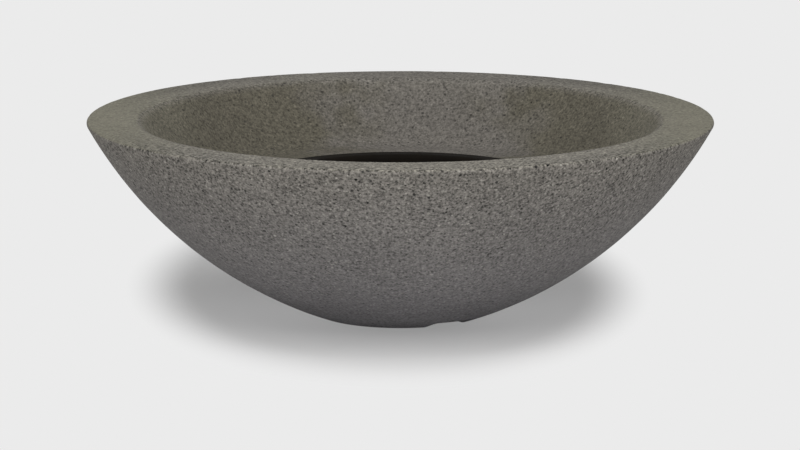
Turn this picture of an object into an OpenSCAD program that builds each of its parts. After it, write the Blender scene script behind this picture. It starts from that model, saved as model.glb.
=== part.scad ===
// Concrete bowl planter: a double-walled concrete bowl with a flat rim, a plastic
// liner that hangs in the opening of its shelf, and a rubber plug in its drain.
// Millimetres, +Z up. The origin is the centre of the foot, on the ground.

/* [Bowl] */
// Outside diameter at the rim
bowl_d = 700; // [640:5:800]
// Height from the ground to the top of the rim
bowl_h = 222; // [196:2:260]
// Diameter of the foot where the wall meets the ground
foot_d = 182; // [165:1:220]
// Lean of the outer wall from upright, just under the rim
wall_lean = 29; // [25:0.5:33]
// Width of the flat rim, from its outer corner to its inner corner
rim_w = 60; // [48:1:75]
// Thickness of the concrete skin
skin_t = 16; // [12:1:20]
// Thickness of the concrete over the hollow in the rim
rim_t = 24; // [18:1:34]
// Rounding of the rim's outer edge
rim_edge_r = 3; // [2:0.5:8]
// Rounding of the rim's inner edge
rim_lip_r = 18; // [6:1:20]

/* [Basin] */
// Depth of the basin, from the rim down to its shelf
basin_depth = 70; // [55:1:85]
// Rounding between the basin's wall and its shelf
basin_fillet_r = 40; // [20:1:50]
// Diameter of the opening in the shelf, which takes the liner
opening_d = 304; // [260:2:330]
// Rounding of the opening's two edges
opening_edge_r = 4; // [2:0.5:5.5]

/* [Foot] */
// Rounding between the foot and the outer wall
foot_edge_r = 25; // [10:1:40]
// Thickness of the concrete floor over the drainage channel
floor_t = 18; // [14:1:26]
// Width of the drainage channel across the underside
channel_w = 52; // [34:1:70]
// Height of the drainage channel
channel_h = 9; // [5:0.5:14]
// Bevel in the two upper corners of the channel
channel_bevel = 2; // [1:0.5:4]
// Turn of the channel's open end from the front (-Y) to the right (+X)
channel_turn = 33; // [0:1:90]
// Diameter of the drain hole in the floor
drain_d = 28; // [20:1:32]

/* [Liner] */
// Thickness of the liner's plastic
liner_t = 3; // [2:0.25:4]
// Width of the flange outside the opening's wall
flange_w = 16; // [10:1:22]
// Rounding of the liner's mouth, on the top of the flange
mouth_r = 6; // [4:0.5:9]
// Clearance between the liner's wall and the opening
liner_gap = 2; // [1:0.25:4]
// Draft of the liner's wall from upright
liner_draft = 8; // [4:0.5:12]
// Depth of the stacking step below the shelf
step_drop = 28; // [22:1:36]
// Width of the stacking step
step_in = 5; // [3:0.5:8]
// Rounding between the liner's wall and its base
base_r = 12; // [8:1:18]
// Height of the free space under the liner, for drained water
water_gap = 38; // [34:1:46]
// Number of stiffening ribs under the stacking step
rib_count = 18; // [12:1:24]
// Width of a rib
rib_w = 4; // [3:0.5:6]
// Rows of drain holes in the base, round the one in the middle
hole_rows = 3; // [2:1:3]
// Distance between rows of drain holes
hole_pitch = 32; // [26:1:34]
// Diameter of a drain hole
hole_d = 5; // [3:0.5:6]
// Height of the two stiffening rings under the base
ring_h = 4; // [2:0.5:5]
// Width of a stiffening ring
ring_w = 3; // [2:0.5:5]

/* [Plug] */
// Radial clearance of the plug's stem in the drain hole
plug_gap = 0.08; // [0.04:0.01:0.1]
// Width of the plug's head outside the hole
plug_lip = 7; // [4:0.5:10]
// Thickness of the plug's head
head_t = 4; // [3:0.5:6]
// How far the stem stops short of the channel's roof
stem_short = 1; // [0.5:0.5:3]
// Bevel at the end of the stem
stem_bevel = 2; // [1:0.5:3]
// Diameter of the finger knob
knob_d = 18; // [14:1:24]
// Height of the finger knob over the head
knob_h = 8; // [7:0.5:10]

/* [Hidden] */
$fn = 96;
// How far a cut runs past the face that it opens
past = 1;
// Steps in a long arc of a profile, and in the arc of a rounding
wall_steps = 28;
edge_steps = 8;

bowl_r = bowl_d / 2;
foot_r = foot_d / 2;
opening_r = opening_d / 2;
shelf_z = bowl_h - basin_depth;
floor_z = channel_h + floor_t;

// The outer wall is one arc, from the foot to where the rim's rounding begins. The
// basin's wall and the hollow between them share its centre.
lean = [cos(wall_lean), -sin(wall_lean)];
rim_edge = [bowl_r - rim_edge_r, bowl_h - rim_edge_r];
wall_top = rim_edge + rim_edge_r * lean;
chord = wall_top - [foot_r, 0];
outer_r = norm(chord) / (2 * sin(atan2(chord[0], chord[1]) - wall_lean));
centre = wall_top - outer_r * lean;
basin_r = norm([bowl_r - rim_w, bowl_h] - centre);
hollow_outer_r = outer_r - skin_t;
hollow_inner_r = basin_r + skin_t;
hollow_end_r = (hollow_outer_r - hollow_inner_r) / 2;

// The liner, in the opening
tub_r = opening_r - liner_gap;
flange_r = opening_r + flange_w;
flange_z = shelf_z + liner_t;
step_z = shelf_z - step_drop;
base_z = floor_z + water_gap;
liner_side = liner_t / cos(liner_draft);

// The plug, in the drain hole
stem_r = drain_d / 2 - plug_gap;
head_r = drain_d / 2 + plug_lip;
neck_r = knob_d / 4;

// Points on an arc about c, from angle a to angle b
function arc(c, r, a, b, steps) =
    [for (i = [0:steps]) c + r * [cos(a + (b - a) * i / steps), sin(a + (b - a) * i / steps)]];

// Angle at which a circle of radius r about the walls' centre is at height z
function at_height(r, z) = -asin((centre[1] - z) / r);

// Point on that circle at that height
function on_wall(r, z) = centre + r * [cos(at_height(r, z)), sin(at_height(r, z))];

// Outside radius of the liner's wall at height z, below or above the stacking step
function liner_wall_r(z, below) =
    tub_r - (shelf_z - z) * tan(liner_draft) - (below ? step_in : 0);

// Half section of the concrete, as [radius, height]
function shell_profile() =
    let (
        foot_edge = on_wall(outer_r - foot_edge_r, foot_edge_r),
        rim_lip = on_wall(basin_r + rim_lip_r, bowl_h - rim_lip_r),
        fillet = on_wall(basin_r - basin_fillet_r, shelf_z + basin_fillet_r),
        hollow_mid_r = (hollow_outer_r + hollow_inner_r) / 2,
        hollow_end = on_wall(hollow_mid_r, bowl_h - rim_t - hollow_end_r),
        foot_a = at_height(outer_r - foot_edge_r, foot_edge_r),
        lip_a = at_height(basin_r + rim_lip_r, bowl_h - rim_lip_r),
        fillet_a = at_height(basin_r - basin_fillet_r, shelf_z + basin_fillet_r),
        end_a = at_height(hollow_mid_r, bowl_h - rim_t - hollow_end_r),
        floor_a = at_height(hollow_outer_r, floor_z),
        nose_r = opening_r + opening_edge_r
    )
    concat(
        [[0, 0]],
        arc(foot_edge, foot_edge_r, -90, foot_a, edge_steps),
        arc(centre, outer_r, foot_a, -wall_lean, wall_steps),
        arc(rim_edge, rim_edge_r, -wall_lean, 90, edge_steps),
        arc(rim_lip, rim_lip_r, 90, 180 + lip_a, edge_steps),
        arc(centre, basin_r, lip_a, fillet_a, wall_steps / 2),
        arc(fillet, basin_fillet_r, fillet_a, -90, edge_steps),
        arc([nose_r, shelf_z - opening_edge_r], opening_edge_r, 90, 180, edge_steps),
        arc([nose_r, shelf_z - skin_t + opening_edge_r], opening_edge_r, 180, 270, edge_steps),
        arc(fillet, basin_fillet_r + skin_t, -90, fillet_a, edge_steps),
        arc(centre, hollow_inner_r, fillet_a, end_a, wall_steps / 2),
        arc(hollow_end, hollow_end_r, 180 + end_a, end_a, edge_steps),
        arc(centre, hollow_outer_r, end_a, floor_a, wall_steps),
        [[0, floor_z]]
    );

// Half section of the liner without its ribs
function liner_profile() =
    let (
        edge_r = liner_t / 2,
        mouth_z = flange_z - mouth_r,
        mouth = liner_wall_r(mouth_z, false) - liner_side + mouth_r / cos(liner_draft),
        corner_r = liner_wall_r(base_z + base_r, true) - base_r / cos(liner_draft),
        inner_r = base_r - liner_t
    )
    concat(
        [[0, base_z]],
        arc([corner_r, base_z + base_r], base_r, -90, -liner_draft, edge_steps),
        [[liner_wall_r(step_z, true), step_z], [liner_wall_r(step_z, false), step_z]],
        [[tub_r, shelf_z]],
        arc([flange_r - edge_r, shelf_z + edge_r], edge_r, -90, 90, edge_steps),
        arc([mouth, mouth_z], mouth_r, 90, 180 - liner_draft, edge_steps),
        [[liner_wall_r(step_z, false) - liner_side, step_z + liner_t]],
        [[liner_wall_r(step_z, true) - liner_side, step_z + liner_t]],
        arc([corner_r, base_z + base_r], inner_r, -liner_draft, -90, edge_steps),
        [[0, base_z + liner_t]]
    );

// Half section of the plug
function plug_profile() =
    let (
        stem_z = channel_h + stem_short,
        head_z = floor_z + head_t,
        knob_r = knob_d / 2,
        knob_edge_r = knob_h / 4
    )
    concat(
        [[0, stem_z], [stem_r - stem_bevel, stem_z], [stem_r, stem_z + stem_bevel]],
        [[stem_r, floor_z], [head_r, floor_z]],
        arc([head_r - head_t / 2, floor_z + head_t / 2], head_t / 2, 0, 90, edge_steps),
        [[neck_r, head_z], [neck_r, head_z + knob_h / 2]],
        arc([knob_r - knob_edge_r, head_z + knob_h - knob_edge_r], knob_edge_r, -90, 90, edge_steps),
        [[0, head_z + knob_h]]
    );

// Drainage channel, right across the underside
module channel() {
    side = channel_w / 2;
    rotate([90, 0, channel_turn])
        linear_extrude(height = bowl_d, center = true)
            polygon([
                [-side, -past], [side, -past], [side, channel_h - channel_bevel],
                [side - channel_bevel, channel_h], [channel_bevel - side, channel_h],
                [-side, channel_h - channel_bevel]
            ]);
}

// The bowl: outer wall, rim, basin, shelf and floor, cast in one piece
module bowl_shell() {
    color([0.43, 0.42, 0.40])
        difference() {
            rotate_extrude() polygon(shell_profile());
            channel();
            cylinder(h = floor_z + past, d = drain_d);
        }
}

// One rib under the stacking step, which tapers away above the base
module liner_rib() {
    root = liner_t / 2;
    foot_z = base_z + base_r;
    rotate([90, 0, 0])
        linear_extrude(height = rib_w, center = true)
            polygon([
                [liner_wall_r(step_z, true) - root, step_z + root],
                [liner_wall_r(step_z, false), step_z + root],
                [liner_wall_r(step_z, false), step_z],
                [liner_wall_r(foot_z, true), foot_z],
                [liner_wall_r(foot_z, true) - root, foot_z]
            ]);
}

// Stiffening rings under the base, between the rows of drain holes
module base_rings() {
    for (row = [1:2])
        rotate_extrude()
            translate([hole_pitch * (row + 0.5) - ring_w / 2, base_z - ring_h])
                square([ring_w, ring_h + liner_t / 2]);
}

module drain_holes() {
    for (row = [0:hole_rows])
        for (i = [0:max(0, 6 * row - 1)])
            rotate([0, 0, 60 * i / max(1, row)])
                translate([hole_pitch * row, 0, base_z - past])
                    cylinder(h = liner_t + 2 * past, d = hole_d, $fn = 24);
}

// The liner: a tub that hangs by its flange from the shelf
module planting_liner() {
    color([0.06, 0.06, 0.06])
        difference() {
            union() {
                rotate_extrude() polygon(liner_profile());
                for (i = [0:rib_count - 1])
                    rotate([0, 0, 360 * i / rib_count]) liner_rib();
                base_rings();
            }
            drain_holes();
        }
}

// The drain plug: a stopper that is pushed in from above and pulled by its knob
module drain_plug() {
    color([0.10, 0.10, 0.10])
        rotate_extrude() polygon(plug_profile());
}

bowl_shell();
planting_liner();
drain_plug();
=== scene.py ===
import math
import random
from types import SimpleNamespace

import bmesh
import bpy
import numpy as np
from mathutils import Matrix, Vector, noise


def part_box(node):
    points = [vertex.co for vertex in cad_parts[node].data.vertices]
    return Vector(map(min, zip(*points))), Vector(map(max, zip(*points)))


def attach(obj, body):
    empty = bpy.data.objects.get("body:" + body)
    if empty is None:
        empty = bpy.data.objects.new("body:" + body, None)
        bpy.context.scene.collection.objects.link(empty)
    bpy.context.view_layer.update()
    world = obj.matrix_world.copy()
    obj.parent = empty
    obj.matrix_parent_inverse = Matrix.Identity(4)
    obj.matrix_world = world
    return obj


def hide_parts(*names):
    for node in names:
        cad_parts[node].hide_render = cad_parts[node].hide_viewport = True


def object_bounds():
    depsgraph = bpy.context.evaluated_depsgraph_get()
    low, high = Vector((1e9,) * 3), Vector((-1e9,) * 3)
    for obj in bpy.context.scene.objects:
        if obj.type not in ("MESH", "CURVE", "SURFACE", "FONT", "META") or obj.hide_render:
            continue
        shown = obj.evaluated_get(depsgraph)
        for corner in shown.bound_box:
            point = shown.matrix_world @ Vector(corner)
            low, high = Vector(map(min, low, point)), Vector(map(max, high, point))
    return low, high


# The looks of the concrete bowl planter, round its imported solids. Metres, +Z up.
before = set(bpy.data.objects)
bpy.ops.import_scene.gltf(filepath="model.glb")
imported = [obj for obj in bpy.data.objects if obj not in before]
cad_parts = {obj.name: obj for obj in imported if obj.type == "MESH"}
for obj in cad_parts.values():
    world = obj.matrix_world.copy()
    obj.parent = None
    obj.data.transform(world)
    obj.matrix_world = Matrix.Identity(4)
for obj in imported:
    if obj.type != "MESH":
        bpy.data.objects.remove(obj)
cad_low, cad_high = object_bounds()

RIM_Z = cad_high.z
RIM_R = cad_high.x
FLANGE_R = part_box("planting_liner")[1].x
CHANNEL_TURN = math.radians(33)  # of the channel's front mouth, from -Y to +X


def new_object(name, data):
    """An object in the scene that holds that mesh, lamp or camera."""
    made = bpy.data.objects.new(name, data)
    bpy.context.scene.collection.objects.link(made)
    return made


# ---------------------------------------------------------------- the photograph's view
IMAGE_W, IMAGE_H = 800, 450
RIM_CENTRE_PX = (400.35, 117.3)  # where the photograph shows the middle of the rim
RIM_SCALE = 0.0011171  # metres for each pixel there
CAMERA_DISTANCE = 5.5
CAMERA_ELEVATION = math.radians(9.13)
SENSOR_W = 36.0


def make_camera():
    """A camera that shows the rim where the photograph does, at the same size and slant."""
    data = bpy.data.cameras.new("camera")
    camera = new_object("camera", data)
    focal_px = CAMERA_DISTANCE / RIM_SCALE
    data.sensor_width = SENSOR_W
    data.lens = focal_px / IMAGE_W * SENSOR_W
    data.clip_start, data.clip_end = 0.1, 100
    rim = Vector((0, 0, RIM_Z))
    back = Vector((0, -math.cos(CAMERA_ELEVATION), math.sin(CAMERA_ELEVATION)))
    camera.location = rim + CAMERA_DISTANCE * back
    # The rim lies above the middle of the picture, so the view is aimed lower than the rim.
    drop = math.atan((IMAGE_H / 2 - RIM_CENTRE_PX[1]) / focal_px)
    turn = math.atan((RIM_CENTRE_PX[0] - IMAGE_W / 2) / focal_px)
    camera.rotation_euler = (math.pi / 2 - CAMERA_ELEVATION - drop, 0, turn)
    bpy.context.scene.camera = camera


# ---------------------------------------------------------------- the concrete's outline
SEGMENTS = 448  # round the bowl
STEP = 0.0058  # longest step between rows of the mesh that show
BEND_STEP = 0.25  # largest turn between them, in radians
HIDDEN = 0.4  # how densely the rows lie in the hollow between the skins, where 1 is as outside
SHARP = math.radians(30)  # a turn of the outline from which it is a corner
SNUG = 1.001  # a radius up to this many times the drain hole's is on the hole's wall


def half_section(mesh, azimuth):
    """Where the half plane at that azimuth cuts a closed mesh, as a loop of (radius, height).

    The loop starts at its lowest, innermost point and goes outwards along the foot.
    """
    points = np.empty(len(mesh.vertices) * 3)
    mesh.vertices.foreach_get("co", points)
    points = points.reshape(-1, 3)
    mesh.calc_loop_triangles()
    triangles = np.empty(len(mesh.loop_triangles) * 3, int)
    mesh.loop_triangles.foreach_get("vertices", triangles)
    triangles = triangles.reshape(-1, 3)
    across = points @ np.array([-math.sin(azimuth), math.cos(azimuth), 0])
    along = points @ np.array([math.cos(azimuth), math.sin(azimuth), 0])
    flat = np.column_stack([along, points[:, 2]])
    behind = across[triangles] < 0
    cuts = []
    for corners in triangles[behind.any(1) & ~behind.all(1)]:
        ends = []
        for a, b in zip(corners, np.roll(corners, -1)):
            if (across[a] < 0) != (across[b] < 0):
                share = across[a] / (across[a] - across[b])
                ends.append(flat[a] + share * (flat[b] - flat[a]))
        if min(ends[0][0], ends[1][0]) > 0:
            cuts.append(ends)
    cuts = np.array(cuts)
    first = np.lexsort((cuts[:, :, 0].min(1), cuts[:, :, 1].max(1).round(6)))[0]
    loop = sorted(cuts[first], key=lambda end: end[0])
    left = np.delete(cuts, first, 0)
    while len(left):
        gaps = np.linalg.norm(left - loop[-1], axis=2)
        nearest, end = np.unravel_index(gaps.argmin(), gaps.shape)
        loop.append(left[nearest][1 - end])
        left = np.delete(left, nearest, 0)
    return np.array(loop[:-1])


def corners_of(loop, tolerance=1e-5):
    """The loop without the points that lie on a straight line between their neighbours."""
    kept = list(loop)
    i = 0
    while i < len(kept):
        a, b, c = kept[i - 1], kept[i], kept[(i + 1) % len(kept)]
        off = abs(np.cross(c - a, b - a)) / max(np.linalg.norm(c - a), tolerance)
        if off < tolerance or np.linalg.norm(b - a) < tolerance:
            kept.pop(i)
        else:
            i += 1
    return np.array(kept)


def rounded(corners, pieces=6):
    """The outline through the corners as a smooth curve, but for its sharp turns.

    It comes as its points, and which of them are sharp turns.
    """
    ahead = np.roll(corners, -1, 0) - corners
    length = np.linalg.norm(ahead, axis=1)[:, None]
    unit = ahead / length
    before = np.roll(unit, 1, 0)
    sharp = (unit * before).sum(1) < math.cos(SHARP)
    tangent = unit * length + before * np.roll(length, 1)
    tangent /= np.linalg.norm(tangent, axis=1)[:, None]
    leave = np.where(sharp[:, None], unit, tangent)
    arrive = np.where(np.roll(sharp, -1)[:, None], unit, np.roll(tangent, -1, 0))
    points = []
    for t in np.arange(pieces) / pieces:
        bow = length * (leave * t * (1 - t) ** 2 - arrive * t * t * (1 - t))
        points.append(corners + ahead * t * t * (3 - 2 * t) + bow)
    at_corner = np.arange(len(corners) * pieces) % pieces == 0
    return np.stack(points, 1).reshape(-1, 2), np.repeat(sharp, pieces) & at_corner


def rows_along(points, sharp, weight):
    """Points spread along the outline by its length and its bends, with one at each corner."""
    closed = np.vstack([points, points[:1]])
    ahead = np.diff(closed, axis=0)
    length = np.linalg.norm(ahead, axis=1)
    heading = np.unwrap(np.arctan2(ahead[:, 1], ahead[:, 0]))
    turn = np.abs(np.diff(heading, append=heading[-1]))
    turn[np.roll(sharp, -1)] = 0
    need = np.concatenate([[0], np.cumsum(weight * (length / STEP + turn / BEND_STEP))])
    corners = [*np.flatnonzero(sharp), len(points)]
    rows = []
    for a, b in zip(corners, corners[1:]):
        count = max(1, math.ceil(need[b] - need[a]))
        at = need[a] + (need[b] - need[a]) * np.arange(count) / count
        rows.append(np.column_stack([np.interp(at, need, closed[:, k]) for k in (0, 1)]))
    return np.vstack(rows)


# ---------------------------------------------------------------- the concrete's mesh
SWELL = 0.00035  # how deep the mould's unevenness goes, always inwards
SWELL_SIZE = 0.11
RIPPLE = 0.00018  # and the casting's fine unevenness
RIPPLE_SIZE = 0.021
RIPPLE_SHIFT = 7.0  # takes its noise from another place than the swell's
CHIP = 0.0009  # deepest chip in the rim's outer edge
CHIP_SIZE = 0.013
CHIP_SHIFT = 19.0
CHIP_NOISE = (0.25, 0.75)  # the noise at which a chip begins, and is deepest
CHIP_REACH = 0.003  # how far from the edge the chips have faded to about a third
TRUE_FOOT_Z = (0.006, 0.03)  # heights between which the unevenness begins, over the foot
SEAT_MARGIN = 0.012  # flat stretch of shelf outside the liner's flange
PITS = 260  # air holes in the cast faces
PIT_R = (0.0006, 0.0016)
PIT_OUT = 0.35  # how far outside the face a hole's centre lies, in radii
PIT_STRETCH = (0.8, 1.3)
PIT_AXIS = Vector((1, 1, 1)).normalized()  # about which it is turned at random
PIT_SPACING = 0.009
PIT_SEED = 5
PITTED = 0.99  # rows more uneven than this have air holes


def smoothstep(value, low, high):
    """0 up to low, 1 from high, and a smooth rise between them."""
    t = np.clip((value - low) / (high - low), 0, 1)
    return t * t * (3 - 2 * t)


def noise_at(points, size, shift=0.0):
    """Smooth noise from -1 to 1 at each point, with features of about that size."""
    return np.array([noise.noise(Vector(p) / size + Vector((shift, 0, 0))) for p in points])


def revolve(rows):
    """Each row's ring of points, shape (rows, segments, 3)."""
    angle = 2 * math.pi * np.arange(SEGMENTS) / SEGMENTS
    radius, height = rows[:, 0][:, None], rows[:, 1][:, None]
    shape = (len(rows), SEGMENTS)
    parts = [radius * np.cos(angle), radius * np.sin(angle), np.broadcast_to(height, shape)]
    return np.stack(parts, 2)


def ring_mesh(name, rings):
    """A closed mesh through rings that follow each other in a loop."""
    count, around = rings.shape[:2]
    index = np.arange(count * around).reshape(count, around)
    ahead = np.roll(index, -1, 0)
    quads = [index, np.roll(index, -1, 1), np.roll(ahead, -1, 1), ahead]
    faces = np.stack(quads, 2).reshape(-1, 4)
    mesh = bpy.data.meshes.new(name)
    mesh.from_pydata(rings.reshape(-1, 3).tolist(), [], faces.tolist())
    return mesh


def cut_away(piece, cutter_mesh):
    """Takes the cutter's closed shells out of the piece's mesh."""
    cutter = new_object("cutter", cutter_mesh)
    cut = piece.modifiers.new("cut", "BOOLEAN")
    cut.operation, cut.solver, cut.object = "DIFFERENCE", "MANIFOLD", cutter
    shaped = piece.evaluated_get(bpy.context.evaluated_depsgraph_get())
    mesh = bpy.data.meshes.new_from_object(shaped)
    piece.modifiers.clear()
    piece.data = mesh
    bpy.data.objects.remove(cutter)


def channel_mesh(half):
    """The drainage channel right across the foot, from half of its section."""
    # It goes on a little under the foot, so that the cut is open there.
    below = half[-1] * (1, 0) - (0, STEP)
    right = np.vstack([half, below])
    section = np.vstack([right, right[::-1] * (-1, 1)])
    axis = Vector((math.sin(CHANNEL_TURN), -math.cos(CHANNEL_TURN), 0))
    side = Vector((math.cos(CHANNEL_TURN), math.sin(CHANNEL_TURN), 0))
    bm = bmesh.new()
    ends = [
        [bm.verts.new(side * r + Vector((0, 0, z)) + axis * RIM_R * sign) for r, z in section]
        for sign in (1, -1)
    ]
    bm.faces.new(ends[0])
    bm.faces.new(ends[1][::-1])
    for i in range(len(section)):
        bm.faces.new([ends[0][i - 1], ends[0][i], ends[1][i], ends[1][i - 1]][::-1])
    bmesh.ops.recalc_face_normals(bm, faces=bm.faces)
    mesh = bpy.data.meshes.new("channel")
    bm.to_mesh(mesh)
    bm.free()
    return mesh


def pits_mesh(rings, outward, allowed, rng):
    """Small round hollows, spread by area over the rows that are allowed to have them."""
    ring_r = np.linalg.norm(rings[:, 0, :2], axis=1)
    gap = np.linalg.norm(np.roll(rings[:, 0], -1, 0) - rings[:, 0], axis=1)
    share = np.cumsum(ring_r * gap * allowed)
    bm = bmesh.new()
    placed = []
    while len(placed) < PITS:
        row = int(np.searchsorted(share, rng.random() * share[-1]))
        column = rng.randrange(SEGMENTS)
        size = PIT_R[0] + (PIT_R[1] - PIT_R[0]) * rng.random() ** 2
        centre = Vector(rings[row, column]) + Vector(outward[row, column]) * size * PIT_OUT
        if any((centre - other).length < PIT_SPACING for other in placed):
            continue
        placed.append(centre)
        turn = Matrix.Rotation(rng.uniform(0, math.pi), 4, PIT_AXIS)
        stretch = Matrix.Diagonal((rng.uniform(*PIT_STRETCH), 1, rng.uniform(*PIT_STRETCH), 1))
        place = Matrix.Translation(centre) @ turn @ stretch
        bmesh.ops.create_icosphere(bm, subdivisions=1, radius=size, matrix=place)
    mesh = bpy.data.meshes.new("pits")
    bm.to_mesh(mesh)
    bm.free()
    return mesh


def shell_outlines():
    """The outline that the CAD shell is turned from, and half of its channel's section."""
    # A plane square to the channel cuts both.
    section = corners_of(half_section(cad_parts["bowl_shell"].data, CHANNEL_TURN))
    # The mesh's flat facets lie a little inside the true circle.
    section[:, 0] *= RIM_R / section[:, 0].max()
    drain_r = section[:, 0].min()
    floor = int(np.argmax(section[:, 0] < drain_r * SNUG))
    outline = np.vstack([[(drain_r, 0)], section[1 : floor + 1]])
    channel_half = np.vstack([[(0, section[floor + 1][1])], section[floor + 2 :], section[:1]])
    return outline, channel_half


def opening_index(points):
    """Where the outline reaches the opening's wall, the inmost place above half height."""
    return int(np.argmin(np.where(points[:, 1] > RIM_Z / 2, points[:, 0], RIM_R)))


def outward_of(rows):
    """The way out of the concrete at each point of the rows' rings."""
    ahead = np.roll(rows, -1, 0) - np.roll(rows, 1, 0)
    ahead /= np.linalg.norm(ahead, axis=1)[:, None]
    return revolve(np.column_stack([ahead[:, 1], -ahead[:, 0]]))


def uneven_rows(rows):
    """How uneven each row is: not at all at the foot, at the liner's seat or in the hollow."""
    radius, height = rows.T
    above_foot = smoothstep(height, *TRUE_FOOT_Z)
    seat = smoothstep(radius, FLANGE_R + SEAT_MARGIN / 2, FLANGE_R + SEAT_MARGIN)
    on_shelf = (height > RIM_Z / 2) & (radius < RIM_R / 2 + STEP)
    visible = np.arange(len(rows)) <= opening_index(rows)
    return above_foot * np.where(on_shelf, seat, 1.0) * visible


def cast_rings(rows, outward, uneven):
    """The rows' rings with the unevenness of a casting, and chips in the rim's outer edge."""
    rings = revolve(rows)
    shape = rings.shape[:2]
    places = rings.reshape(-1, 3)
    swell = SWELL * (0.5 + 0.5 * noise_at(places, SWELL_SIZE))
    ripple = RIPPLE * (0.5 + 0.5 * noise_at(places, RIPPLE_SIZE, RIPPLE_SHIFT))
    chip = CHIP * smoothstep(noise_at(places, CHIP_SIZE, CHIP_SHIFT), *CHIP_NOISE)
    at_edge = np.exp(-(((rows - (RIM_R, RIM_Z)) ** 2).sum(1) / CHIP_REACH**2))
    depth = (swell + ripple).reshape(shape) * uneven[:, None]
    depth += chip.reshape(shape) * at_edge[:, None]
    rings = rings - outward * depth[:, :, None]
    rings[:, :, 2] = rings[:, :, 2].clip(0)
    return rings


def make_concrete_bowl():
    """The cast bowl, from the CAD shell's own section, in place of that shell."""
    outline, channel_half = shell_outlines()
    points, sharp = rounded(outline)
    past_opening = np.arange(len(points)) > opening_index(points)
    rows = rows_along(points, sharp, np.where(past_opening, HIDDEN, 1.0))
    outward = outward_of(rows)
    uneven = uneven_rows(rows)
    rings = cast_rings(rows, outward, uneven)

    bowl = new_object("concrete_bowl", ring_mesh("concrete_bowl", rings))
    cut_away(bowl, channel_mesh(channel_half))
    cut_away(bowl, pits_mesh(rings, outward, uneven > PITTED, random.Random(PIT_SEED)))
    bowl.data.shade_smooth()
    bowl.data.set_sharp_from_angle(angle=SHARP)
    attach(bowl, "bowl")
    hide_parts("bowl_shell")
    return bowl


# ---------------------------------------------------------------- shader helpers
NOISE_SPAN = (0.25, 0.75)  # the values between which nearly all of a noise lies
GRAIN_BULK = 0.22  # how much the largest grain's radius is over the smallest's, in spaces
GRAIN_EDGE = (0.16, 0.3)  # where the smallest grain's soft edge begins and ends


class Shader:
    """A material's node tree, with one short call for each kind of node."""

    def __init__(self, name):
        self.material = bpy.data.materials.new(name)
        self.material.use_nodes = True
        self.tree = self.material.node_tree
        self.tree.nodes.clear()
        self.out = self.add("ShaderNodeOutputMaterial")

    def add(self, kind, inputs=None, **settings):
        node = self.tree.nodes.new(kind)
        for name, value in settings.items():
            setattr(node, name, value)
        for socket, value in (inputs or {}).items():
            self.put(node.inputs[socket], value)
        return node

    def put(self, socket, value):
        if isinstance(value, bpy.types.NodeSocket):
            self.tree.links.new(value, socket)
        else:
            socket.default_value = value

    def texture_space(self, output="Object"):
        return self.add("ShaderNodeTexCoord").outputs[output]

    def axes(self, vector):
        return self.add("ShaderNodeSeparateXYZ", {0: vector}).outputs

    def length(self, vector):
        return self.add("ShaderNodeVectorMath", {0: vector}, operation="LENGTH").outputs["Value"]

    def reach(self, place, size=(1, 1, 1), centre=(0, 0, 0), turn=(0, 0, 0)):
        """How far each place lies from the centre of an ellipsoid, where 1 is on its surface."""
        inputs = {"Vector": place, "Location": centre, "Rotation": turn, "Scale": size}
        return self.length(self.add("ShaderNodeMapping", inputs, vector_type="TEXTURE").outputs[0])

    def math(self, operation, a, b=0.0, clamp=False):
        node = self.add("ShaderNodeMath", {0: a, 1: b}, operation=operation, use_clamp=clamp)
        return node.outputs[0]

    def total(self, parts):
        whole = parts[0]
        for part in parts[1:]:
            whole = self.math("ADD", whole, part)
        return whole

    def noise(self, place, size, detail=2.0, roughness=0.5):
        inputs = {"Vector": place, "Scale": 1 / size, "Detail": detail, "Roughness": roughness}
        return self.add("ShaderNodeTexNoise", inputs).outputs["Fac"]

    def drift(self, place, size, depth):
        """Soft patches of about that size, from minus to plus that depth."""
        return self.ramp(self.noise(place, size), *NOISE_SPAN, -depth, depth)

    def grains(self, place, space):
        """Round grains of many sizes, one in each space: where they are, a tone and a kind."""
        node = self.add("ShaderNodeTexVoronoi", {"Vector": place, "Scale": 1 / space})
        bulk, tone, kind = self.add("ShaderNodeSeparateColor", {0: node.outputs["Color"]}).outputs
        bulk = self.math("MULTIPLY", bulk, GRAIN_BULK)
        edge = self.math("SUBTRACT", node.outputs["Distance"], bulk)
        return self.ramp(edge, *GRAIN_EDGE, 1.0, 0.0), tone, kind

    def ramp(self, value, low, high, to_low=0.0, to_high=1.0, smooth=True):
        kind = "SMOOTHSTEP" if smooth else "LINEAR"
        inputs = {0: value, 1: low, 2: high, 3: to_low, 4: to_high}
        return self.add("ShaderNodeMapRange", inputs, interpolation_type=kind).outputs[0]

    def mix(self, factor, a, b, blend="MIX"):
        # A Mix node's sockets 6 and 7, and its output 2, are those for colours.
        inputs = {0: factor, 6: a, 7: b}
        node = self.add("ShaderNodeMix", inputs, data_type="RGBA", blend_type=blend)
        return node.outputs[2]

    def times(self, colour, shade, factor=1.0):
        return self.mix(factor, colour, shade, blend="MULTIPLY")

    def bump(self, height, distance, normal=None):
        inputs = {"Height": height, "Distance": distance}
        if normal is not None:
            inputs["Normal"] = normal
        return self.add("ShaderNodeBump", inputs).outputs[0]

    def finish(self, inputs):
        surface = self.add("ShaderNodeBsdfPrincipled", inputs)
        self.tree.links.new(surface.outputs[0], self.out.inputs["Surface"])
        return self.material


def grey(value):
    return (value, value, value, 1)


def wear(piece, material):
    """Gives the piece that material alone."""
    piece.data.materials.clear()
    piece.data.materials.append(material)


# ---------------------------------------------------------------- the concrete's tints
# The outer wall.
UPPER_CONCRETE = (0.161, 0.150, 0.133, 1)  # warm grey, just under the rim
LOWER_CONCRETE = (0.175, 0.169, 0.176, 1)  # cooler, towards the foot
FOOT_PAINTED_LIGHT = 1.42  # painted light: how much paler the foot is, against the shade where it meets the floor
FOOT_PAINTED_LIGHT_Z = 0.032  # where that painted light ends
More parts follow.
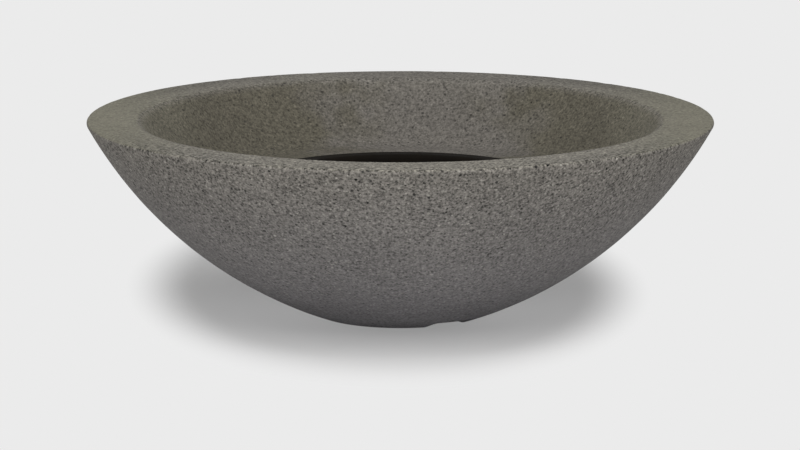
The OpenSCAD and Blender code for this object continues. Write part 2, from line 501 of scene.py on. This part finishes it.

# The rim. A pair along X is a distance from the middle, and a pair along Y a place.
RIM_CONCRETE = (0.174, 0.163, 0.139, 1)
RIM_BAND = (0.0022, 0.0008)  # how far under the top of the rim its own tone ends
# Yellower and paler, at the rim's two sides; the paler part is painted light.
SIDE_YELLOW_AND_PAINTED_LIGHT = (0.184, 0.175, 0.136, 1)
RIM_SIDE_X = (0.2, 0.33)  # how far out its yellower sides, paler with painted light, begin
RIM_BACK_PAINTED_SHADE = 0.7  # painted shade: how much of the basin's darker tint the back of the rim takes, behind the basin's lighter stretch
RIM_FRONT_Y = (-0.26, -0.1)  # where its front begins
RIM_FRONT_PAINTED_LIGHT = 1.045  # painted light: how much paler that is
RIM_EDGE_PAINTED_SHADE = (0.80, 0.80, 0.81, 1)  # painted shade: the darker band along its outer edge
RIM_OUTER_R = (0.305, 0.335)  # how far out that band begins
RIM_OUTER_X = (0.1, 0.2)  # where it gets its full shade, beside the rim's front and back
RIM_OUTER_LEAST = 0.15  # how much of that shade it has at the front and back
RIM_OUTER_END_X = (0.27, 0.33)  # where it ends, at the rim's two sides

# The basin.
# Darker than the wall: the concrete with painted shade of the hollow.
BASIN_CONCRETE_WITH_PAINTED_SHADE = (0.148, 0.137, 0.122, 1)
BASIN_R = (0.284, 0.300)  # where the rim bends into the basin
BASIN_RISE = (0.0, 0.1)  # how far up a face looks from which it can be the basin's
PAINTED_SHADE_CONCRETE = (0.108, 0.099, 0.076, 1)  # painted shade: darker and olive on the basin's sides and front
PAINTED_LIGHT_X = 0.025  # the middle of the lighter stretch at the back, painted light left free of painted shade
PAINTED_SHADE_X = (0.055, 0.135)  # how far to the side of that the painted shade begins
PAINTED_SHADE_Y = (0.15, 0.0)  # and where it begins towards the front
PAINTED_SHADE_DRIFT = 0.04  # how far the painted shade's edge wanders
PAINTED_SHADE_DRIFT_SIZE = 0.06
PAINTED_EDGE_LIGHT_R = (0.268, 0.295)  # painted light: where the basin's wall pales towards the rim, as on a rounded edge
PAINTED_EDGE_LIGHT = 0.4  # how much of the rim's tint it takes there
PAINTED_SIDE_LIGHT_X = (0.215, 0.28)  # and where it pales at both sides, as painted light
PAINTED_SIDE_LIGHT = 0.43


def bowl_places(s):
    """Where on the bowl a point is, as the sockets that the concrete's tints and sand need."""
    at = SimpleNamespace(place=s.texture_space())
    at.x, at.y, at.height = s.axes(at.place)
    level = s.add("ShaderNodeVectorMath", {0: at.place, 1: (1, 1, 0)}, operation="MULTIPLY")
    at.radius = s.length(level.outputs[0])
    at.from_middle = s.math("ABSOLUTE", at.x)
    at.on_rim = s.ramp(at.height, RIM_Z - RIM_BAND[0], RIM_Z - RIM_BAND[1])
    rise = s.axes(s.texture_space("Normal"))["Z"]
    within = s.ramp(at.radius, *BASIN_R, 1.0, 0.0)
    at.in_basin = s.math("MULTIPLY", within, s.ramp(rise, *BASIN_RISE))
    return at


def wall_tint(s, at):
    tint = s.mix(s.ramp(at.height, 0.0, RIM_Z, smooth=False), LOWER_CONCRETE, UPPER_CONCRETE)
    # Painted light on the foot, paler towards the floor.
    return s.times(tint, s.ramp(at.height, 0.0, FOOT_PAINTED_LIGHT_Z, FOOT_PAINTED_LIGHT, 1.0))


def basin_painted_shade(s, at):
    """How much painted shade the concrete takes: none in the lighter stretch at the back of the
    basin.
    """
    drift = s.drift(at.place, PAINTED_SHADE_DRIFT_SIZE, PAINTED_SHADE_DRIFT)
    aside = s.math("ABSOLUTE", s.math("SUBTRACT", at.x, PAINTED_LIGHT_X))
    at_sides = s.ramp(s.math("ADD", aside, drift), *PAINTED_SHADE_X)
    return s.math("MAXIMUM", at_sides, s.ramp(s.math("ADD", at.y, drift), *PAINTED_SHADE_Y))


def rim_tint(s, at, painted_shade):
    tint = s.mix(s.ramp(at.from_middle, *RIM_SIDE_X), RIM_CONCRETE, SIDE_YELLOW_AND_PAINTED_LIGHT)
    # Painted shade on the back of the rim.
    tint = s.mix(s.ramp(painted_shade, 0.0, 1.0, RIM_BACK_PAINTED_SHADE, 0.0), tint, BASIN_CONCRETE_WITH_PAINTED_SHADE)
    # Painted shade along the rim's outer edge.
    outer = s.ramp(at.from_middle, *RIM_OUTER_X, RIM_OUTER_LEAST)
    outer = s.math("MULTIPLY", s.ramp(at.radius, *RIM_OUTER_R), outer)
    outer = s.math("MULTIPLY", outer, s.ramp(at.from_middle, *RIM_OUTER_END_X, 1.0, 0.0))
    tint = s.times(tint, RIM_EDGE_PAINTED_SHADE, outer)
    # Painted light at the rim's front.
    return s.times(tint, s.ramp(at.y, *RIM_FRONT_Y, RIM_FRONT_PAINTED_LIGHT, 1.0))


def basin_tint(s, at, painted_shade):
    # Painted light on the basin's wall near the rim and at its two sides.
    tint = s.mix(s.ramp(at.radius, *PAINTED_EDGE_LIGHT_R, 0.0, PAINTED_EDGE_LIGHT), BASIN_CONCRETE_WITH_PAINTED_SHADE, RIM_CONCRETE)
    # Painted shade on the basin's sides and front.
    tint = s.mix(painted_shade, tint, PAINTED_SHADE_CONCRETE)
    return s.mix(s.ramp(at.from_middle, *PAINTED_SIDE_LIGHT_X, 0.0, PAINTED_SIDE_LIGHT), tint, SIDE_YELLOW_AND_PAINTED_LIGHT)


def concrete_tint(s, at):
    """The concrete's colour without its sand, with its painted light and shade."""
    painted_shade = basin_painted_shade(s, at)
    tint = s.mix(at.on_rim, wall_tint(s, at), rim_tint(s, at, painted_shade))
    return s.mix(at.in_basin, tint, basin_tint(s, at, painted_shade))


# ---------------------------------------------------------------- the concrete's sand
STONE = 0.0038  # space round each coarse grain of sand that shows
SAND = 0.0019  # and round each fine one
STONE_DEPTH = 0.7  # how far the coarse grains' tones differ from the concrete's
SAND_DEPTH = 0.38
SPECKLES = ((0.0046, 0.32), (0.0025, 0.5), (0.001, 0.12))  # size and depth of each soft one
DARK_SAND = (0.030, 0.029, 0.027, 1)
DARK_KINDS = (0.15, 0.2)  # about this share of the coarse grains is dark
DARK_COVER = 0.85
PALE_SAND = (0.40, 0.385, 0.345, 1)
PALE_KINDS = (0.84, 0.89)  # and what lies over this share is pale
PALE_COVER = 0.5
CLOUD_SIZE = 0.09  # of the large soft patches
CLOUD_NOISE = (0.3, 0.7)
CLOUD_SHADE = (0.95, 1.05)

# How much less of the sand shows, and for RIM_COARSE how much more, as a share of it.
FOOT_EVEN = 0.6
BASIN_EVEN = 0.4
RIM_BACK_EVEN = 0.25  # all round the rim but at its front
RIM_SIDE_EVEN = 0.35  # and besides, at its two sides
RIM_SIDE_EVEN_X = (0.24, 0.32)
RIM_COARSE = 0.35  # along the outer edge of the rim's front
RIM_COARSE_R = (0.326, 0.338)

# Relief, by bump.
SKIN_SIZE = 0.007
SKIN_RELIEF = 0.0006
STONE_RELIEF = 0.0004
STONE_SUNK = 0.3  # the share of the coarse grains that has left a hollow
SAND_RELIEF = 0.00025
SAND_ROUGHNESS = (0.82, 0.98)


def sand_grains(s, place):
    """The coarse and the fine grains, with uneven outlines."""
    warp = s.add("ShaderNodeTexNoise", {"Vector": place, "Scale": 1 / SAND, "Detail": 1.0})
    inputs = {0: warp.outputs["Color"], 1: (SAND / 2,) * 3, 2: place}
    warped = s.add("ShaderNodeVectorMath", inputs, operation="MULTIPLY_ADD").outputs[0]
    return s.grains(warped, STONE), s.grains(warped, SAND)


def sand_shown(s, at):
    """How strongly the sand shows, where 1 is as on the wall's upper part."""
    low = s.ramp(at.height, 0.0, RIM_Z, FOOT_EVEN, 0.0, smooth=False)
    behind = s.ramp(at.y, *RIM_FRONT_Y, 0.0, RIM_BACK_EVEN)
    at_sides = s.ramp(at.from_middle, *RIM_SIDE_EVEN_X, 0.0, RIM_SIDE_EVEN)
    rim_even = s.math("MULTIPLY", s.math("ADD", behind, at_sides), at.on_rim)
    even = s.math("MAXIMUM", s.math("MULTIPLY", at.in_basin, BASIN_EVEN), rim_even)
    coarse = s.ramp(at.y, *RIM_FRONT_Y, RIM_COARSE, 0.0)
    coarse = s.math("MULTIPLY", coarse, s.ramp(at.radius, *RIM_COARSE_R))
    shown = s.math("SUBTRACT", 1.0, s.math("MAXIMUM", even, low))
    return s.math("ADD", shown, s.math("MULTIPLY", coarse, at.on_rim))


def concrete():
    """Cast concrete whose fine skin is off, so that dark and pale grains of sand show."""
    s = Shader("concrete")
    at = bowl_places(s)
    coarse, fine = sand_grains(s, at.place)
    stone, stone_tone, stone_kind = coarse
    sand, sand_tone, sand_kind = fine
    speckles = [s.drift(at.place, size, depth) for size, depth in SPECKLES]
    for grain, tone, depth in ((stone, stone_tone, STONE_DEPTH), (sand, sand_tone, SAND_DEPTH)):
        tone = s.ramp(tone, 0.0, 1.0, -depth, depth, smooth=False)
        speckles.append(s.math("MULTIPLY", grain, tone))

    shown = sand_shown(s, at)
    clouds = s.ramp(s.noise(at.place, CLOUD_SIZE, detail=3.0), *CLOUD_NOISE, *CLOUD_SHADE)
    speckle = s.math("ADD", s.math("MULTIPLY", s.total(speckles), shown), 1.0)
    colour = s.times(concrete_tint(s, at), s.math("MULTIPLY", clouds, speckle))
    bold = s.math("MULTIPLY", stone, shown)
    dark = s.math("MULTIPLY", bold, s.ramp(stone_kind, *DARK_KINDS, DARK_COVER, 0.0))
    pale = s.math("MULTIPLY", bold, s.ramp(stone_kind, *PALE_KINDS, 0.0, PALE_COVER))
    pale = s.math("MULTIPLY", pale, s.math("SUBTRACT", 1.0, at.in_basin))
    colour = s.mix(pale, s.mix(dark, colour, DARK_SAND), PALE_SAND)

    relief = s.bump(s.noise(at.place, SKIN_SIZE, detail=3.0, roughness=0.6), SKIN_RELIEF)
    stone_height = s.math("MULTIPLY", stone, s.math("SUBTRACT", stone_kind, STONE_SUNK))
    relief = s.bump(stone_height, STONE_RELIEF, relief)
    relief = s.bump(s.math("MULTIPLY", sand, sand_kind), SAND_RELIEF, relief)
    return s.finish({
        "Base Color": colour,
        "Roughness": s.ramp(sand_kind, 0.0, 1.0, *SAND_ROUGHNESS, smooth=False),
        "Specular IOR Level": 0.2,
        "Normal": relief,
    })


# ---------------------------------------------------------------- liner and plug
def moulded(name, plain, dusty, dust_size, dust_noise, grain_size, grain_relief, gloss):
    """A dark moulded material with a fine grain, and dust or bloom in soft patches."""
    s = Shader(name)
    place = s.texture_space()
    dust = s.noise(place, dust_size, detail=4.0, roughness=0.6)
    grain = s.noise(place, grain_size, detail=1.0)
    return s.finish({
        "Base Color": s.mix(s.ramp(dust, *dust_noise), plain, dusty),
        "Roughness": s.ramp(dust, 0.3, 0.7, 0.6, 0.8),
        "Specular IOR Level": gloss,
        "Normal": s.bump(grain, grain_relief),
    })


def plastic():
    return moulded(
        "liner_plastic",
        plain=(0.0055, 0.0042, 0.003, 1),
        dusty=(0.0095, 0.0078, 0.0055, 1),
        dust_size=0.03,
        dust_noise=(0.4, 0.75),
        grain_size=0.0009,
        grain_relief=0.00012,
        gloss=0.05,
    )


def rubber():
    return moulded(
        "plug_rubber",
        plain=grey(0.018),
        dusty=(0.032, 0.031, 0.03, 1),
        dust_size=0.008,
        dust_noise=(0.35, 0.7),
        grain_size=0.0006,
        grain_relief=0.00008,
        gloss=0.35,
    )


# ---------------------------------------------------------------- floor and light
FLOOR_SIZE = 40.0
PALE = grey(0.831)  # shows as 235
# The object's real shadow, lifted by painted light in its paler middle, along its slant and
# towards and past its soft edge.
SHADOW_CENTRE = (-0.015, 0.175, 0)
SHADOW_TURN = (0, 0, 0.03)  # in radians
SHADOW_REACH = (0.306, 0.584, 1)  # half the shadow's width and length
SHADOW_EDGE = 0.719  # the part of that reach where its soft edge begins
LIFT_REACH = (0.379, 0.282, 1)  # half the width and length of its paler middle
LIFT = (0.423, 0.029)  # how plain it is in that middle, and outside
SLANT_Y = (-0.4, 0.2)  # from the front to the back
SLANT = (-0.082, 0.04)  # how much plainer it is at the one, and at the other
FOOT_SHADOW_R = (0.03, 0.06)  # inside this the floor under the foot is not plain at all


def is_seen(tree):
    """1 for the rays that show the background: the camera's own, and those off gloss or glass."""
    path = tree.nodes.new("ShaderNodeLightPath")
    seen = path.outputs["Is Camera Ray"]
    for kind in ("Is Glossy Ray", "Is Transmission Ray"):
        either = tree.nodes.new("ShaderNodeMath")
        either.operation = "MAXIMUM"
        tree.links.new(seen, either.inputs[0])
        tree.links.new(path.outputs[kind], either.inputs[1])
        seen = either.outputs[0]
    return seen


def make_floor():
    """A pale floor. The camera sees it plain far off, and near it the object's shadow, lifted in
    places by painted light.
    """
    half = FLOOR_SIZE / 2
    corners = [(-half, -half, 0), (half, -half, 0), (half, half, 0), (-half, half, 0)]
    mesh = bpy.data.meshes.new("floor")
    mesh.from_pydata(corners, [], [(0, 1, 2, 3)])
    floor = new_object("floor", mesh)
    s = Shader("floor")
    place = s.texture_space()
    lift = s.ramp(s.reach(place, LIFT_REACH), 0.0, 1.0, *LIFT)
    slant = s.ramp(s.axes(place)["Y"], *SLANT_Y, *SLANT, smooth=False)
    within = s.math("ADD", lift, slant, clamp=True)
    within = s.math("MULTIPLY", within, s.ramp(s.reach(place), *FOOT_SHADOW_R))
    reach = s.reach(place, SHADOW_REACH, SHADOW_CENTRE, SHADOW_TURN)
    plain = s.ramp(reach, SHADOW_EDGE, 1.0, within, 1.0)
    seen = s.math("MULTIPLY", plain, is_seen(s.tree))
    lit = s.add("ShaderNodeBsdfDiffuse", {"Color": PALE})
    shown = s.add("ShaderNodeEmission", {"Color": PALE})
    mixed = s.add("ShaderNodeMixShader", {0: seen, 1: lit.outputs[0], 2: shown.outputs[0]})
    s.tree.links.new(mixed.outputs[0], s.out.inputs["Surface"])
    wear(floor, s.material)


def make_sun(name, azimuth, elevation, angle, level):
    """A soft lamp far away. Azimuth 0 stands behind the camera and 90 on the right."""
    data = bpy.data.lights.new(name, "SUN")
    data.energy, data.angle = level * math.pi, math.radians(angle)
    lamp = new_object(name, data)
    a, e = math.radians(azimuth), math.radians(elevation)
    towards = Vector((math.sin(a) * math.cos(e), -math.cos(a) * math.cos(e), math.sin(e)))
    lamp.rotation_mode = "QUATERNION"
    lamp.rotation_quaternion = towards.to_track_quat("Z", "Y")


def make_softbox(name, place, size, level):
    """A square lamp aimed at the bowl, where its light has that level."""
    data = bpy.data.lights.new(name, "AREA")
    lamp = new_object(name, data)
    lamp.location = place
    back = Vector(place) - Vector((0, 0, RIM_Z / 2))
    data.size, data.energy = size, level * math.pi**2 * back.length_squared
    lamp.rotation_mode = "QUATERNION"
    lamp.rotation_quaternion = back.to_track_quat("Z", "Y")


def make_world(level):
    """An even light from all round, where the camera sees the floor's own pale grey."""
    world = bpy.data.worlds.new("studio")
    bpy.context.scene.world = world
    world.use_nodes = True
    tree = world.node_tree
    tree.nodes.clear()
    out = tree.nodes.new("ShaderNodeOutputWorld")
    mix = tree.nodes.new("ShaderNodeMixShader")
    light = tree.nodes.new("ShaderNodeBackground")
    shown = tree.nodes.new("ShaderNodeBackground")
    light.inputs["Color"].default_value = grey(1)
    light.inputs["Strength"].default_value = level
    shown.inputs["Color"].default_value = PALE
    tree.links.new(is_seen(tree), mix.inputs[0])
    tree.links.new(light.outputs[0], mix.inputs[1])
    tree.links.new(shown.outputs[0], mix.inputs[2])
    tree.links.new(mix.outputs[0], out.inputs["Surface"])


make_camera()
make_floor()
make_world(level=0.593)
make_sun("fill", azimuth=0, elevation=15, angle=60, level=0.224)
make_softbox("key", place=(0, -1.3, 1.3), size=1.0, level=0.431)
wear(make_concrete_bowl(), concrete())
wear(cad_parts["planting_liner"], plastic())
wear(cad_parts["drain_plug"], rubber())
bpy.context.scene.view_settings.view_transform = "Standard"
